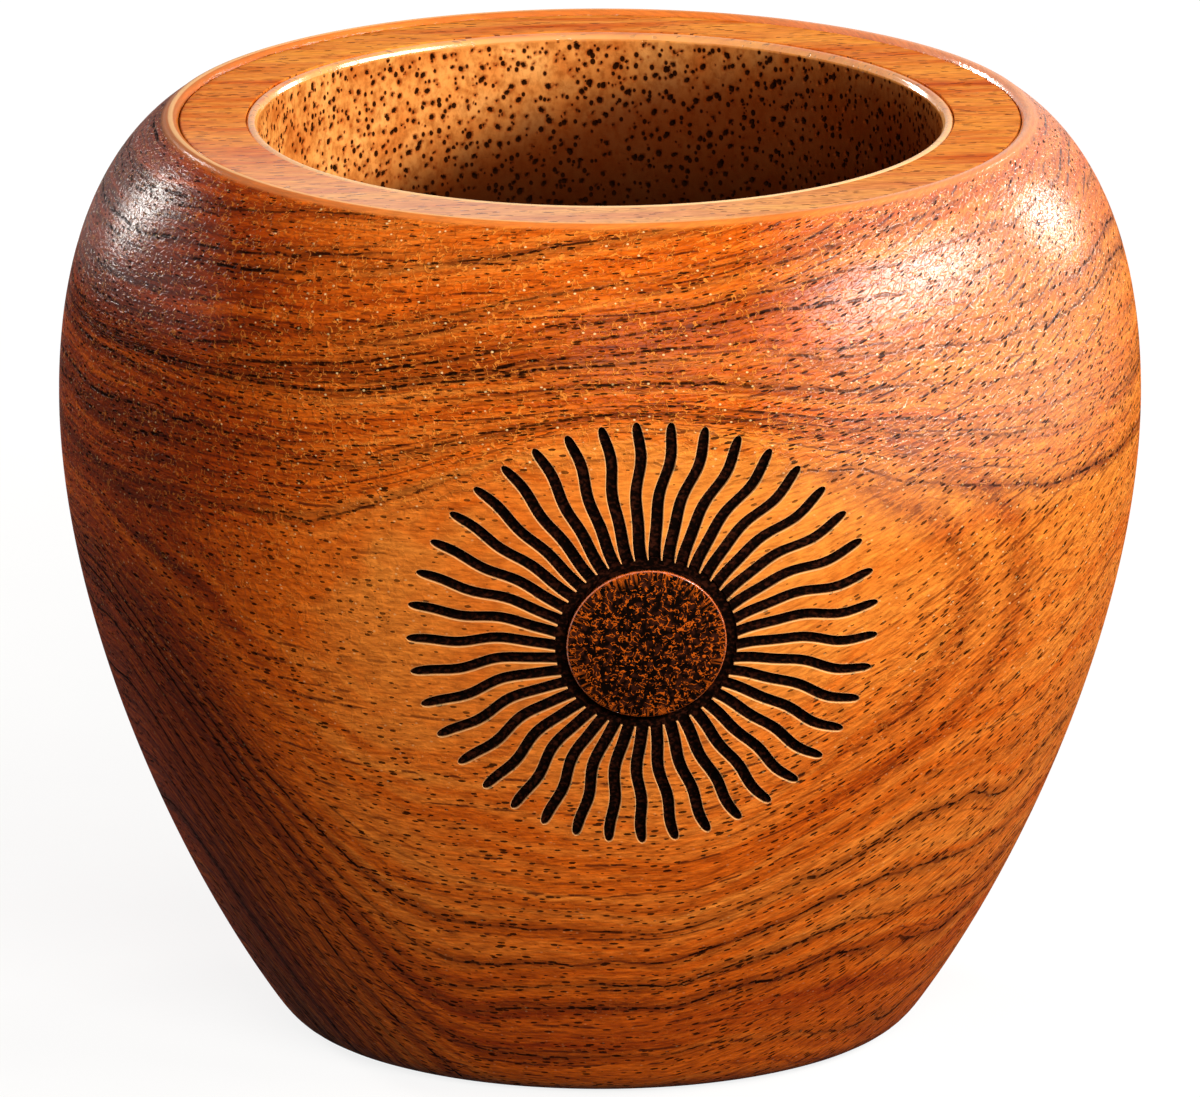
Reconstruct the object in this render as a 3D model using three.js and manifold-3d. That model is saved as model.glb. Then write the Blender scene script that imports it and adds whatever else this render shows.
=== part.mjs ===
// A turned wooden mate cup: carved body, porous liner, flat rim ring and sun medallion.
// Millimetres, +Z up. The foot stands on z = 0 and the carved sun faces -Y.
import * as THREE from "three";
import { mergeVertices } from "three/addons/utils/BufferGeometryUtils.js";
import Module from "manifold-3d";

const wasm = await Module();
wasm.setup();

// Driving dimensions of the turned outside
const HEIGHT = 77.3;
const FOOT_RADIUS = 22.7;
const FOOT_RING_WIDTH = 5.7;
const FOOT_DISH = 1.2;
const HEEL_RADIUS = 28.1;
const HEEL_LEVEL = 3.7;
const WALL_LEAN = 55.8;
const BELLY_RADIUS = 45;
const BELLY_LEVEL = 53.6;
const SHOULDER_LEAN = 33;
const BEAD_RADIUS = 0.7;
const BEAD_CIRCLE = 35.65;
const BEAD_START = 35;

// How far each curve's handles reach, which sets its fullness
const HEEL_PULL = 2.9;
const WALL_PULL = 14.5;
const BELLY_PULL = 17.3;
const SHOULDER_PULL = 13.7;
const LIP_PULL = 5;

// Driving dimensions of the mouth, the rim ring and the liner
const GLUE_GAP = 0.2;
const RING_DROP = 0.35;
const RING_DEPTH = 3.75;
const RING_ARRIS = 0.3;
const MOUTH_RADIUS = 28.45;
const LIP_THICKNESS = 0.95;
const LINER_WALL = 3;
const LINER_FLOOR = 4;
const FLOOR_LEVEL = 14;
const FLOOR_RADIUS = 9;
const BOWL_LEVEL = 38;
const BOWL_RADIUS = 27.6;
const BOWL_PULL = 15;

// Driving dimensions of the carved sun
const SUN_STATION = 0.815;
const SUN_SQUEEZE = 0.965;
const DISC_RADIUS = 6.6;
const DISC_EDGE = 0.35;
const DISC_LEVEL = -0.25;
const DISC_CROWN = 0.35;
const RECESS_RADIUS = 7.5;
const RECESS_DEPTH = 1.7;
const TENON_RADIUS = 3;
const TENON_LENGTH = 3;
const CARVE_DEPTH = 0.9;
const RAY_COUNT = 41;
const RAY_ROOT = 7.1;
const RAY_TIP = 19.4;
const RAY_HALF_WIDTH = 0.5;
const RAY_BEND = 0.58;
const RAY_WAVES = 0.8;
const RAY_LEAN = 35;
const RAY_SHIFT = 1;
const RAY_CROWDING = 1.5;

// Facets
const SEGMENTS = 60;
const SUN_SEGMENTS = 36;
const RAY_STEPS = 6;
const BELLY_STEPS = 9;
const SHOULDER_STEPS = 7;
const BOWL_STEPS = 6;

// Levels and radii that follow from the driving dimensions
const RING_TOP = HEIGHT - RING_DROP;
const SEAT_LEVEL = RING_TOP - RING_DEPTH;
const BEAD_LEVEL = HEIGHT - BEAD_RADIUS;
const RABBET_RADIUS = BEAD_CIRCLE - BEAD_RADIUS;
const RING_OUTER = RABBET_RADIUS - GLUE_GAP;
const LIP_OUTER = MOUTH_RADIUS + LIP_THICKNESS;
const RING_INNER = LIP_OUTER + GLUE_GAP;

const point = (radius, level) => new THREE.Vector2(radius, level);
const heading = (degrees) => {
  const angle = THREE.MathUtils.degToRad(degrees);
  return point(Math.cos(angle), Math.sin(angle));
};
const along = (start, direction, length) => start.clone().addScaledVector(direction, length);

// A curved stretch of a profile, without its first point
const stretch = (curve, steps) => curve.getPoints(steps).slice(1);

// A half or quarter round of a profile, without its first point
function round(radius, level, size, from, to, steps) {
  const start = THREE.MathUtils.degToRad(from);
  const end = THREE.MathUtils.degToRad(to);
  return stretch(new THREE.EllipseCurve(radius, level, size, size, start, end, to < from), steps);
}

// A profile turned about the Z axis
function turned(profile, segments = SEGMENTS) {
  const geometry = new THREE.LatheGeometry(profile, segments);
  return geometry.rotateX(Math.PI / 2);
}

// A closed geometry as a solid that can be cut and joined
function solid(geometry) {
  const bare = geometry.clone();
  bare.deleteAttribute("normal");
  bare.deleteAttribute("uv");
  const welded = mergeVertices(bare, 1e-3);
  const corners = welded.index.array;
  const kept = [];
  for (let i = 0; i < corners.length; i += 3) {
    const [a, b, c] = corners.slice(i, i + 3);
    if (a !== b && b !== c && c !== a) kept.push(a, b, c);
  }
  return new wasm.Manifold(new wasm.Mesh({
    numProp: 3,
    vertProperties: new Float32Array(welded.attributes.position.array),
    triVerts: new Uint32Array(kept),
  }));
}

// The geometry of a cut solid
function geometryOf(shape) {
  const mesh = shape.getMesh();
  const geometry = new THREE.BufferGeometry();
  geometry.setAttribute("position", new THREE.BufferAttribute(mesh.vertProperties, 3));
  geometry.setIndex(new THREE.BufferAttribute(mesh.triVerts, 1));
  geometry.computeVertexNormals();
  return geometry;
}

function piece(name, geometry, color, roughness) {
  const material = new THREE.MeshStandardMaterial({ color, roughness, metalness: 0 });
  const mesh = new THREE.Mesh(geometry, material);
  mesh.name = name;
  return mesh;
}

// The outside of the cup: a rounded heel, a full belly and a shoulder that leans in to the lip bead
const wallDirection = heading(WALL_LEAN);
const lipDirection = heading(180 - SHOULDER_LEAN);
const foot = point(FOOT_RADIUS, 0);
const heel = point(HEEL_RADIUS, HEEL_LEVEL);
const belly = point(BELLY_RADIUS, BELLY_LEVEL);
const lip = along(point(BEAD_CIRCLE, BEAD_LEVEL), heading(BEAD_START), BEAD_RADIUS);
const heelCurve = new THREE.CubicBezierCurve(
  foot, along(foot, heading(0), HEEL_PULL), along(heel, wallDirection, -HEEL_PULL), heel);
const bellyCurve = new THREE.CubicBezierCurve(
  heel, along(heel, wallDirection, WALL_PULL), along(belly, heading(-90), BELLY_PULL), belly);
const shoulderCurve = new THREE.CubicBezierCurve(
  belly, along(belly, heading(90), SHOULDER_PULL), along(lip, lipDirection, -LIP_PULL), lip);

// The bowl that the liner's two faces and the bore in the body share, from the wall down to the floor
function bowl(outset, drop) {
  const wall = point(BOWL_RADIUS + outset, BOWL_LEVEL);
  const floor = point(FLOOR_RADIUS, FLOOR_LEVEL - drop);
  const below = along(wall, heading(-90), BOWL_PULL + drop);
  const beside = along(floor, heading(0), BOWL_PULL - 2 + outset);
  const curve = new THREE.CubicBezierCurve(wall, below, beside, floor);
  return [wall, ...stretch(curve, BOWL_STEPS)];
}

// The sun's own place on the belly: X to the right, Y up the wall, Z straight out of it
const sunCentre = bellyCurve.getPoint(SUN_STATION);
const sunUp = bellyCurve.getTangent(SUN_STATION);
const sun = new THREE.Group();
sun.position.set(0, -sunCentre.x, sunCentre.y);
sun.rotation.x = Math.atan2(sunUp.y, -sunUp.x);
sun.updateMatrixWorld();

// Where a ray points: not quite evenly spaced, as cut by hand
function rayTurn(index) {
  const turn = (2 * Math.PI * (index + 0.5)) / RAY_COUNT;
  return turn + THREE.MathUtils.degToRad(RAY_SHIFT + RAY_CROWDING * Math.sin(2 * turn));
}

// One wavy ray: its half width dies out in a round tip, and its bend changes over around the sun.
// The whole drawing is a little wider than it is tall.
function rayShape(turn) {
  const out = point(Math.cos(turn), Math.sin(turn));
  const left = point(-out.y, out.x);
  const bend = RAY_BEND * Math.cos(turn - THREE.MathUtils.degToRad(RAY_LEAN));
  const side = (sign) => {
    const edge = [];
    for (let step = 0; step <= RAY_STEPS; step += 1) {
      const share = Math.sin((Math.PI / 2) * (step / RAY_STEPS));
      const half = RAY_HALF_WIDTH * (1.02 - 0.13 * share) * Math.sqrt(1 - share ** 24);
      const sway = bend * Math.sin(2 * Math.PI * RAY_WAVES * share);
      const reach = RAY_ROOT + (RAY_TIP - RAY_ROOT) * share;
      const spot = along(along(point(0, 0), out, reach), left, sway + sign * half);
      edge.push(point(spot.x, spot.y * SUN_SQUEEZE));
    }
    return edge;
  };
  const leftEdge = side(1).slice(0, -1).reverse();
  return new THREE.Shape([...side(-1), ...leftEdge]);
}

// The cup's wall below the carving: the outside moved in by the carving depth
function carvedCore() {
  const inset = (curve, steps) => {
    const moved = [];
    for (let step = 0; step <= steps; step += 1) {
      const tangent = curve.getTangent(step / steps);
      const inward = point(-tangent.y, tangent.x);
      moved.push(along(curve.getPoint(step / steps), inward, CARVE_DEPTH));
    }
    return moved;
  };
  const skin = [...inset(bellyCurve, BELLY_STEPS), ...inset(shoulderCurve, SHOULDER_STEPS).slice(1)];
  const low = point(0, skin[0].y);
  const high = point(0, skin[skin.length - 1].y);
  return solid(turned([low, ...skin, high]));
}

// The rays, pressed straight in along the sun's axis to an even depth below the skin
function rayCarving() {
  let rays = null;
  for (let index = 0; index < RAY_COUNT; index += 1) {
    const outline = rayShape(rayTurn(index));
    const prism = new THREE.ExtrudeGeometry(outline, { depth: 9, bevelEnabled: false });
    prism.translate(0, 0, -7);
    prism.applyMatrix4(sun.matrixWorld);
    rays = rays ? rays.add(solid(prism)) : solid(prism);
  }
  return rays.subtract(carvedCore());
}

// The flat round recess and the tenon hole that take the medallion
function discSocket() {
  const top = 2;
  const tenonHole = TENON_RADIUS + GLUE_GAP;
  const bottom = -RECESS_DEPTH - TENON_LENGTH - GLUE_GAP;
  const profile = [
    point(0, bottom),
    point(tenonHole, bottom),
    point(tenonHole, -RECESS_DEPTH),
    point(RECESS_RADIUS, -RECESS_DEPTH),
    point(RECESS_RADIUS, top),
    point(0, top),
  ];
  return solid(turned(profile, SUN_SEGMENTS).applyMatrix4(sun.matrixWorld));
}

function cupBody() {
  const dishEdge = point(FOOT_RADIUS - FOOT_RING_WIDTH, 0);
  const dish = new THREE.QuadraticBezierCurve(
    point(0, FOOT_DISH), point(dishEdge.x * 0.75, FOOT_DISH), dishEdge);
  const bore = bowl(LINER_WALL + GLUE_GAP, LINER_FLOOR);
  const profile = [
    point(0, FOOT_DISH),
    ...stretch(dish, 4),
    foot,
    ...stretch(heelCurve, 4),
    ...stretch(bellyCurve, BELLY_STEPS),
    ...stretch(shoulderCurve, SHOULDER_STEPS),
    ...round(BEAD_CIRCLE, BEAD_LEVEL, BEAD_RADIUS, BEAD_START, 180, 5),
    point(RABBET_RADIUS, SEAT_LEVEL),
    point(MOUTH_RADIUS + LINER_WALL + GLUE_GAP, SEAT_LEVEL),
    ...bore,
    point(0, FLOOR_LEVEL - LINER_FLOOR),
  ];
  const blank = solid(turned(profile));
  const carved = blank.subtract(rayCarving()).subtract(discSocket());
  return piece("cup_body", geometryOf(carved), 0x8a3d17, 0.38);
}

// The inner cup: a thin lip stands up inside the rim ring, which rests on the step outside the lip
function liner() {
  const lipRadius = LIP_THICKNESS / 2;
  const profile = [
    point(0, FLOOR_LEVEL - LINER_FLOOR),
    ...bowl(LINER_WALL, LINER_FLOOR).reverse(),
    point(MOUTH_RADIUS + LINER_WALL, SEAT_LEVEL),
    point(LIP_OUTER, SEAT_LEVEL),
    point(LIP_OUTER, RING_TOP - lipRadius),
    ...round(MOUTH_RADIUS + lipRadius, RING_TOP - lipRadius, lipRadius, 0, 180, 6),
    ...bowl(0, 0),
    point(0, FLOOR_LEVEL),
  ];
  return piece("liner", turned(profile), 0xa9825c, 0.7);
}

// The flat ring let into the mouth, with its arrises just taken off
function rimRing() {
  const start = point(RING_INNER, SEAT_LEVEL);
  const edge = RING_ARRIS;
  const profile = [
    start,
    point(RING_OUTER, SEAT_LEVEL),
    point(RING_OUTER, RING_TOP - edge),
    ...round(RING_OUTER - edge, RING_TOP - edge, edge, 0, 90, 3),
    point(RING_INNER + edge, RING_TOP),
    ...round(RING_INNER + edge, RING_TOP - edge, edge, 90, 180, 3),
    start.clone(),
  ];
  return piece("rim_ring", turned(profile), 0x9a4a24, 0.32);
}

// The medallion: a low dome with a rounded edge on a short tenon
function sunDisc() {
  const seat = -RECESS_DEPTH + GLUE_GAP;
  const dome = new THREE.QuadraticBezierCurve(
    point(DISC_RADIUS - DISC_EDGE, DISC_LEVEL), point(DISC_RADIUS * 0.5, DISC_CROWN), point(0, DISC_CROWN));
  const profile = [
    point(0, -RECESS_DEPTH - TENON_LENGTH),
    point(TENON_RADIUS, -RECESS_DEPTH - TENON_LENGTH),
    point(TENON_RADIUS, seat),
    point(DISC_RADIUS, seat),
    point(DISC_RADIUS, DISC_LEVEL - DISC_EDGE),
    ...round(DISC_RADIUS - DISC_EDGE, DISC_LEVEL - DISC_EDGE, DISC_EDGE, 0, 90, 3),
    ...stretch(dome, 4),
  ];
  return piece("sun_disc", turned(profile, SUN_SEGMENTS), 0x2a1710, 0.55);
}

const cup = new THREE.Group();
cup.add(cupBody(), liner(), rimRing(), sun);
sun.add(sunDisc());

export default cup;
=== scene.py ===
"""Looks of a turned wooden mate cup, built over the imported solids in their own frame.

Fine meshes stand for the four CAD nodes: the carved body, the porous liner, the rim ring and
the sun medallion. Shapes are worked out in millimetres and become metres when a mesh is made.
+Z is up and the carved sun faces -Y. Turns round the cup are in degrees from the sun towards +X.
"""

import math

import bmesh
import bpy
import numpy as np
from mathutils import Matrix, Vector
from mathutils.geometry import delaunay_2d_cdt


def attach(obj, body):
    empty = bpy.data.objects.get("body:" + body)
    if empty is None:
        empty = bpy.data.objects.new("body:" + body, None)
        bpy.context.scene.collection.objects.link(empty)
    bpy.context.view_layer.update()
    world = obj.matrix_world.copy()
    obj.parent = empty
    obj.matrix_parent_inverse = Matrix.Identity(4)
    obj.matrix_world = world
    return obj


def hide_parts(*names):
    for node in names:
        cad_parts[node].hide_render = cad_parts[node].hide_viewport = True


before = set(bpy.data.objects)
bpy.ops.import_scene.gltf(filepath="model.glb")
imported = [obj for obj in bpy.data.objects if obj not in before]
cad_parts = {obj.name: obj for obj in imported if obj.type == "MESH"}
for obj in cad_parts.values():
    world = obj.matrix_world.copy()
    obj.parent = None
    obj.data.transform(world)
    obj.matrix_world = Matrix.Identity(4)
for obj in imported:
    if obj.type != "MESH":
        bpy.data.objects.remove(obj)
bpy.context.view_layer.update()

MM = 0.001

# Sizes of the turned pieces, in millimetres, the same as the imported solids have
HEIGHT = 77.3
FOOT_RADIUS = 22.7
FOOT_RING_WIDTH = 5.7
FOOT_DISH = 1.2
DISH_BEND = 0.75
HEEL = np.array([28.1, 3.7])
WALL_LEAN = 55.8
BELLY = np.array([45.0, 53.6])
SHOULDER_LEAN = 33
BEAD_RADIUS = 0.7
BEAD_CIRCLE = 35.65
BEAD_START = 35
HEEL_PULL, WALL_PULL, BELLY_PULL, SHOULDER_PULL, LIP_PULL = 2.9, 14.5, 17.3, 13.7, 5
GLUE_GAP = 0.2
RING_DROP = 0.35
RING_HEIGHT = 3.75
MOUTH_RADIUS = 28.45
LIP_THICKNESS = 0.95
LINER_WALL = 3
LINER_FLOOR = 4
FLOOR_LEVEL = 14
FLOOR_RADIUS = 9
BOWL = np.array([27.6, 38.0])
BOWL_PULL = 15
FLOOR_PULL = 13
RING_TOP = HEIGHT - RING_DROP
SEAT_LEVEL = RING_TOP - RING_HEIGHT
BEAD_LEVEL = HEIGHT - BEAD_RADIUS
RABBET_RADIUS = BEAD_CIRCLE - BEAD_RADIUS
BORE_RADIUS = MOUTH_RADIUS + LINER_WALL + GLUE_GAP
LIP_OUTER = MOUTH_RADIUS + LIP_THICKNESS
LIP_ROUND = LIP_THICKNESS / 2

# The mouth's edge as it looks: a chamfer inside the round lip
CHAMFER_FOOT = 0.46
CHAMFER_DROP = 0.19
CHAMFER_INSET = 0.14
CHAMFER_EASE = np.array([0.05, 0.1])
LIP_CREST_INSET = 0.34
LIP_LEVELS = (RING_TOP - 0.58, RING_TOP - 0.44)
LIP_INSIDE = (MOUTH_RADIUS + LIP_ROUND * 0.6, MOUTH_RADIUS + LIP_ROUND * 0.2)

# The rim ring as it looks, glued up tight between the lip and the bead
SEAM = 0.04
RING_INNER = LIP_OUTER + SEAM / 4
RING_EDGE = RABBET_RADIUS - SEAM
INNER_ARRIS = 0.04
OUTER_ARRIS = 0.2

# Sizes of the carved sun, in millimetres
SUN_STATION = 0.815
SUN_SQUEEZE = 0.965
DISC_RADIUS = 6.6
DISC_EDGE = 0.35
DISC_LEVEL = -0.25
DISC_CROWN = 0.35
DISC_BEND = 0.5
RECESS_RADIUS = 7.5
RECESS_DEPTH = 1.7
RECESS_FLOOR_RINGS = (0.85, 0.5)
RAY_COUNT = 41
RAY_ROOT = 7.1
RAY_TIP = 19.4
RAY_HALF_WIDTH = 0.5
RAY_ROOT_SWELL = 1.02
RAY_TAPER = 0.13
RAY_BLUNTNESS = 24
RAY_BEND = 0.58
RAY_WAVES = 0.8
RAY_RIPPLE = 0.16
RAY_RIPPLES = 2.2
RAY_RIPPLE_LEAN = 1.15
RAY_LEAN = 35
RAY_SHIFT = 1
RAY_CROWDING = 1.5
RAY_SLIVER = 0.02
RAY_START = -0.01

# The carving's section: how far inside its outline, how deep there, and where the painted highlight along its
# edge lies
CARVE_INSIDE = [-0.1, -0.045, 0.0, 0.05, 0.16]
CARVE_DEPTHS = [0.0, 0.0, 0.06, 0.74, 0.9]
RECESS_DEPTHS = [0.0, 0.0, 0.06, 1.0, 1.2]
EDGE_INSIDE = -0.022
EDGE_WIDTH = 0.038
EDGE_CLEAR = 0.02

# Grain figure, in millimetres along the outside and degrees round the cup
EYE_LEVEL = 51
EYE_DROP = 19
EYE_RISE = 12.5
EYE_SOFTNESS = 1
EYE_LEFT = (-78, -22)
EYE_RIGHT = (50, 4)
RISE_SWELL = (-1, 26, 33)
RISE_FADE = 9
BACK_DROP = 10
BACK_DROP_SWELL = (165, 40, 40)
BACK_RISE = 6
BACK_RISE_SWELL = (160, 36, 36)
HANG_RIGHT = (120, 15)
HANG_BEHIND = 0.8
HANG_SWELL = (180, 48, 48)
LAYER_SPREAD = 0.75
HANG_SPREAD = 1.1
SIDE_SPREAD = 1.4
SIDE_START = (8, 55)
SIDE_END = (130, 75)
TOP_TILT = 8
TILTED_LAYERS = (10, 22)
LAYER_REACH = (-95.0, 70.0)
FIBRE_BEND = 0.3
FIBRE_RISE = 15
FIBRE_START = (0, 85)
FIBRE_END = (180, 95)
PLAIN_LAYERS = (0.4, 1.9)
PLAIN_SWELL = (2, 34, 29)
LOOP_TURN = 4
LOOP_LEVEL = 44
LOOP_WIDTH = 34
LOOP_HEIGHT = 14.5
LOOP_SIZES = (1.0, 1.25)
LOOP_SOFTNESS = 0.065
LOOP_START = (12, 30)
LOOP_END = (75, 45)
GRAIN_STEP = 0.05

# Open pores of the bore
PORE_SEED = 11
PORE_PITCH = 1.3
PORE_JITTER = 0.8
PORE_FIRST_ROW = 0.3
PORE_SMALL = 0.15
PORE_LARGE = 0.31
PORE_SKEW = 1.4
PORE_LEAN = 0.5
PORE_STRETCH = (0.9, 1.3)
PORE_DEPTH = 0.3
PORE_SLOPE = (-0.02, 0.2)
PORE_WINDOW = 1.2
PORE_LOW = 58
NO_PORE = -1.0

# Painted shade inside the bore: the level where it starts, its tilt round the cup and how softly it fades
SHADE_LINE_LEVEL = 68
SHADE_LINE_TILT = 10.5
SHADE_LINE_TURN = 25
SHADE_LINE_FADE = 7

# Where the body's finish changes, in millimetres
# Painted shade falls on the body's left side and painted light on its right side
SHADED_LEFT_SIDE = (-18.0, -40.0)
LIT_RIGHT_SIDE = (8.0, 36.0)
BACK_SIDE = (-5.0, 15.0)
TOP_LEVELS = (62.0, 72.0)
FOOT_LEVELS = (20.0, 6.0)
LOW_LEVELS = (31.0, 23.0)
GLOW_SIDE = (-16.0, 4.0)
POLISH_START = (6.0, 24.0)
POLISH_END = (46.0, 33.0)
POLISH_LEVELS = (48.0, 61.0)
SINKING_LEVELS = (52.0, 40.0)
CURL_LEVELS = (22.0, 60.0)
GLEAM_SIDE = (-30.0, -38.0)
GLEAM_LEVELS = (62.0, 69.0)
BEAD_BLEND = 0.25
# Painted highlight along the bead's crest: its levels and the side where it is strongest
CREST_LEVELS = (HEIGHT - 0.05, HEIGHT - 0.01)
CREST_HIGHLIGHT_SIDE = (25.0, -15.0)

# Where the finish of the mouth changes, in millimetres
# Painted reflection on the ring and the lip, paler towards the front
PAINTED_SHEEN_FRONT = (-14.0, -31.0)
# Painted highlight on the lip, stronger towards the front
LIP_HIGHLIGHT_FRONT = (8.0, -20.0)
RING_FRONT = (6.0, -24.0)
RING_LEFT = (24.0, -16.0)
# Painted shade is darkest below these levels inside the bore
DEEP_SHADE_LEVELS = (74.0, 60.0)

# Mesh steps
COLUMNS = 240
DISC_COLUMNS = 180
PORE_COLUMNS = 760
PORE_ROWS = 86
PATCH_COLUMNS = 20
PATCH_LEVELS = (21.5, 66.0)
SKIN_STEPS = 1500
STATION_STEPS = 10000
RAY_STEPS = 34
RECESS_STEPS = 180
RECESS_FLOOR_STEPS = 60
SHARP_ANGLE = 19
WELD_DISTANCE = 1e-7
DRAWING_PRECISION = 1e-6
HALVINGS = 45
PRESS_REACH = (-12.0, 4.0)

# Photograph's camera
CAMERA_TURN = -5.0
CAMERA_ELEVATION = 15.35
CAMERA_DISTANCE = 2200
PIXELS_PER_MM = 12.0
IMAGE_WIDTH = 1200
SENSOR_WIDTH = 36
AIM_LEVEL = 38.6
AIM_LIFT = 1.28
VIEW_DEPTH = 20

# Lamps: turn and rise from the cup's middle, distance and size in metres, and power in watts
CUP_MIDDLE = 0.05
LAMPS = {
    "front": (10, 28, 1.2, (0.8, 0.36), 16.5),
    "right": (72, 32, 0.9, (0.8, 0.19), 7.5),
    "back_right": (126, 15, 0.8, (0.18, 0.2), 1.7),
    "back_left": (-141, 15, 0.8, (0.1, 0.26), 5.0),
}
LAMP_COLOUR = (1, 0.96, 0.9)
AMBIENT_COLOUR = (1, 0.98, 0.96, 1)
AMBIENT_STRENGTH = 0.025

# Floor, in metres and shares of white
FLOOR_HALF = 6.0
FLOOR_GREYS = (0.15, 0.17)
FLOOR_BOUNCE = 0.055
FLOOR_GLOW = 0.84


def heading(degrees):
    angle = math.radians(degrees)
    return np.array([math.cos(angle), math.sin(angle)])


def bezier(start, out, back, end, steps):
    """Points of a cubic curve, both ends included."""
    t = np.linspace(0, 1, steps + 1)[:, None]
    early = (1 - t) ** 3 * start + 3 * (1 - t) ** 2 * t * out
    return early + 3 * (1 - t) * t ** 2 * back + t ** 3 * end


def arc(radius, level, size, first, last, steps):
    """Points of a round in a profile, both ends included."""
    angles = np.radians(np.linspace(first, last, steps + 1))
    return np.stack([radius + size * np.cos(angles), level + size * np.sin(angles)], axis=1)


def bow(start, bend, end, steps):
    """Points of a curve that leaves both its ends towards bend."""
    return bezier(start, start + (bend - start) * 2 / 3, end + (bend - end) * 2 / 3, end, steps)


def even_angles(count):
    return 2 * np.pi * np.arange(count) / count


def between(start, end, steps):
    return np.linspace(start, end, steps + 1)


def ease(value, start, end):
    """Smooth step from 0 at start to 1 at end."""
    share = np.clip((value - start) / (end - start), 0, 1)
    return share * share * (3 - 2 * share)


def swell(turn, centre, left, right):
    """A bump around the cup, with its own width on each side."""
    away = (turn - centre + 180) % 360 - 180
    return np.exp(-(away / np.where(away < 0, left, right)) ** 2)


def halve(reach, count, beyond):
    """The value within reach where beyond(values) turns true, at each of count places."""
    low, high = np.full(count, reach[0]), np.full(count, reach[1])
    for _ in range(HALVINGS):
        middle = (low + high) / 2
        past = beyond(middle)
        high = np.where(past, middle, high)
        low = np.where(past, low, middle)
    return low


# Curves of the outside
FOOT = np.array([FOOT_RADIUS, 0.0])
LIP = np.array([BEAD_CIRCLE, BEAD_LEVEL]) + heading(BEAD_START) * BEAD_RADIUS
WALL_WAY = heading(WALL_LEAN)
LIP_WAY = heading(180 - SHOULDER_LEAN)


def heel_curve(steps):
    return bezier(FOOT, FOOT + heading(0) * HEEL_PULL, HEEL - WALL_WAY * HEEL_PULL, HEEL, steps)


def belly_curve(steps):
    return bezier(HEEL, HEEL + WALL_WAY * WALL_PULL, BELLY - heading(90) * BELLY_PULL, BELLY, steps)


def shoulder_curve(steps):
    return bezier(BELLY, BELLY + heading(90) * SHOULDER_PULL, LIP - LIP_WAY * LIP_PULL, LIP, steps)


def bowl_curve(outset, drop, steps):
    """The bowl that the bore and both faces of the liner share, from the wall to the floor."""
    wall = BOWL + [outset, 0]
    floor = np.array([FLOOR_RADIUS, FLOOR_LEVEL - drop])
    return bezier(wall, wall - [0, BOWL_PULL + drop], floor + [FLOOR_PULL + outset, 0], floor, steps)


def profile_lengths(profile):
    """Length along a profile at each of its points, equal to the level at the belly."""
    steps = np.linalg.norm(np.diff(profile, axis=0), axis=1)
    lengths = np.concatenate([[0], np.cumsum(steps)])
    return lengths + (BELLY[1] - lengths[np.argmax(profile[:, 0])])


SKIN = np.concatenate([belly_curve(SKIN_STEPS), shoulder_curve(SKIN_STEPS)[1:]])
SKIN_LENGTHS = profile_lengths(SKIN)

# The sun's place on the belly: right, up the wall and straight out
SUN_STEP = int(SUN_STATION * STATION_STEPS)
SUN_SPOT, SUN_NEXT = belly_curve(STATION_STEPS)[SUN_STEP:SUN_STEP + 2]
SUN_SLOPE = (SUN_NEXT - SUN_SPOT) / np.linalg.norm(SUN_NEXT - SUN_SPOT)
SUN_CENTRE = np.array([0, -SUN_SPOT[0], SUN_SPOT[1]])
SUN_RIGHT = np.array([1.0, 0, 0])
SUN_UP = np.array([0, -SUN_SLOPE[0], SUN_SLOPE[1]])
SUN_OUT = np.array([0, -SUN_SLOPE[1], -SUN_SLOPE[0]])


def hanging(turn):
    """How far the growth layers below the sun hang down, at each turn around the cup."""
    front = ease(turn, *EYE_LEFT) * ease(turn, *HANG_RIGHT)
    return np.maximum(front, HANG_BEHIND * swell(turn, *HANG_SWELL))


def layer_length(label, turn):
    """Where a growth layer lies: flat lines above, an eye round the sun and hanging lines below."""
    low, high = np.minimum(label, 0), np.maximum(label, 0)
    drop = EYE_DROP * ease(turn, *EYE_LEFT) * ease(turn, *EYE_RIGHT)
    drop = drop + BACK_DROP * swell(turn, *BACK_DROP_SWELL)
    rise = EYE_RISE * swell(turn, *RISE_SWELL) + BACK_RISE * swell(turn, *BACK_RISE_SWELL)
    beside = SIDE_SPREAD * ease(turn, *SIDE_START) * ease(turn, *SIDE_END)
    spread = LAYER_SPREAD + HANG_SPREAD * hanging(turn) + beside
    below = low * spread - drop * (1 - np.exp(low / EYE_SOFTNESS))
    above = high + rise * (1 - np.exp(-high / EYE_SOFTNESS)) * np.exp(-high / RISE_FADE)
    tilt = TOP_TILT * np.sin(np.radians(turn)) * ease(high, *TILTED_LAYERS)
    return EYE_LEVEL + below + above + tilt


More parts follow.
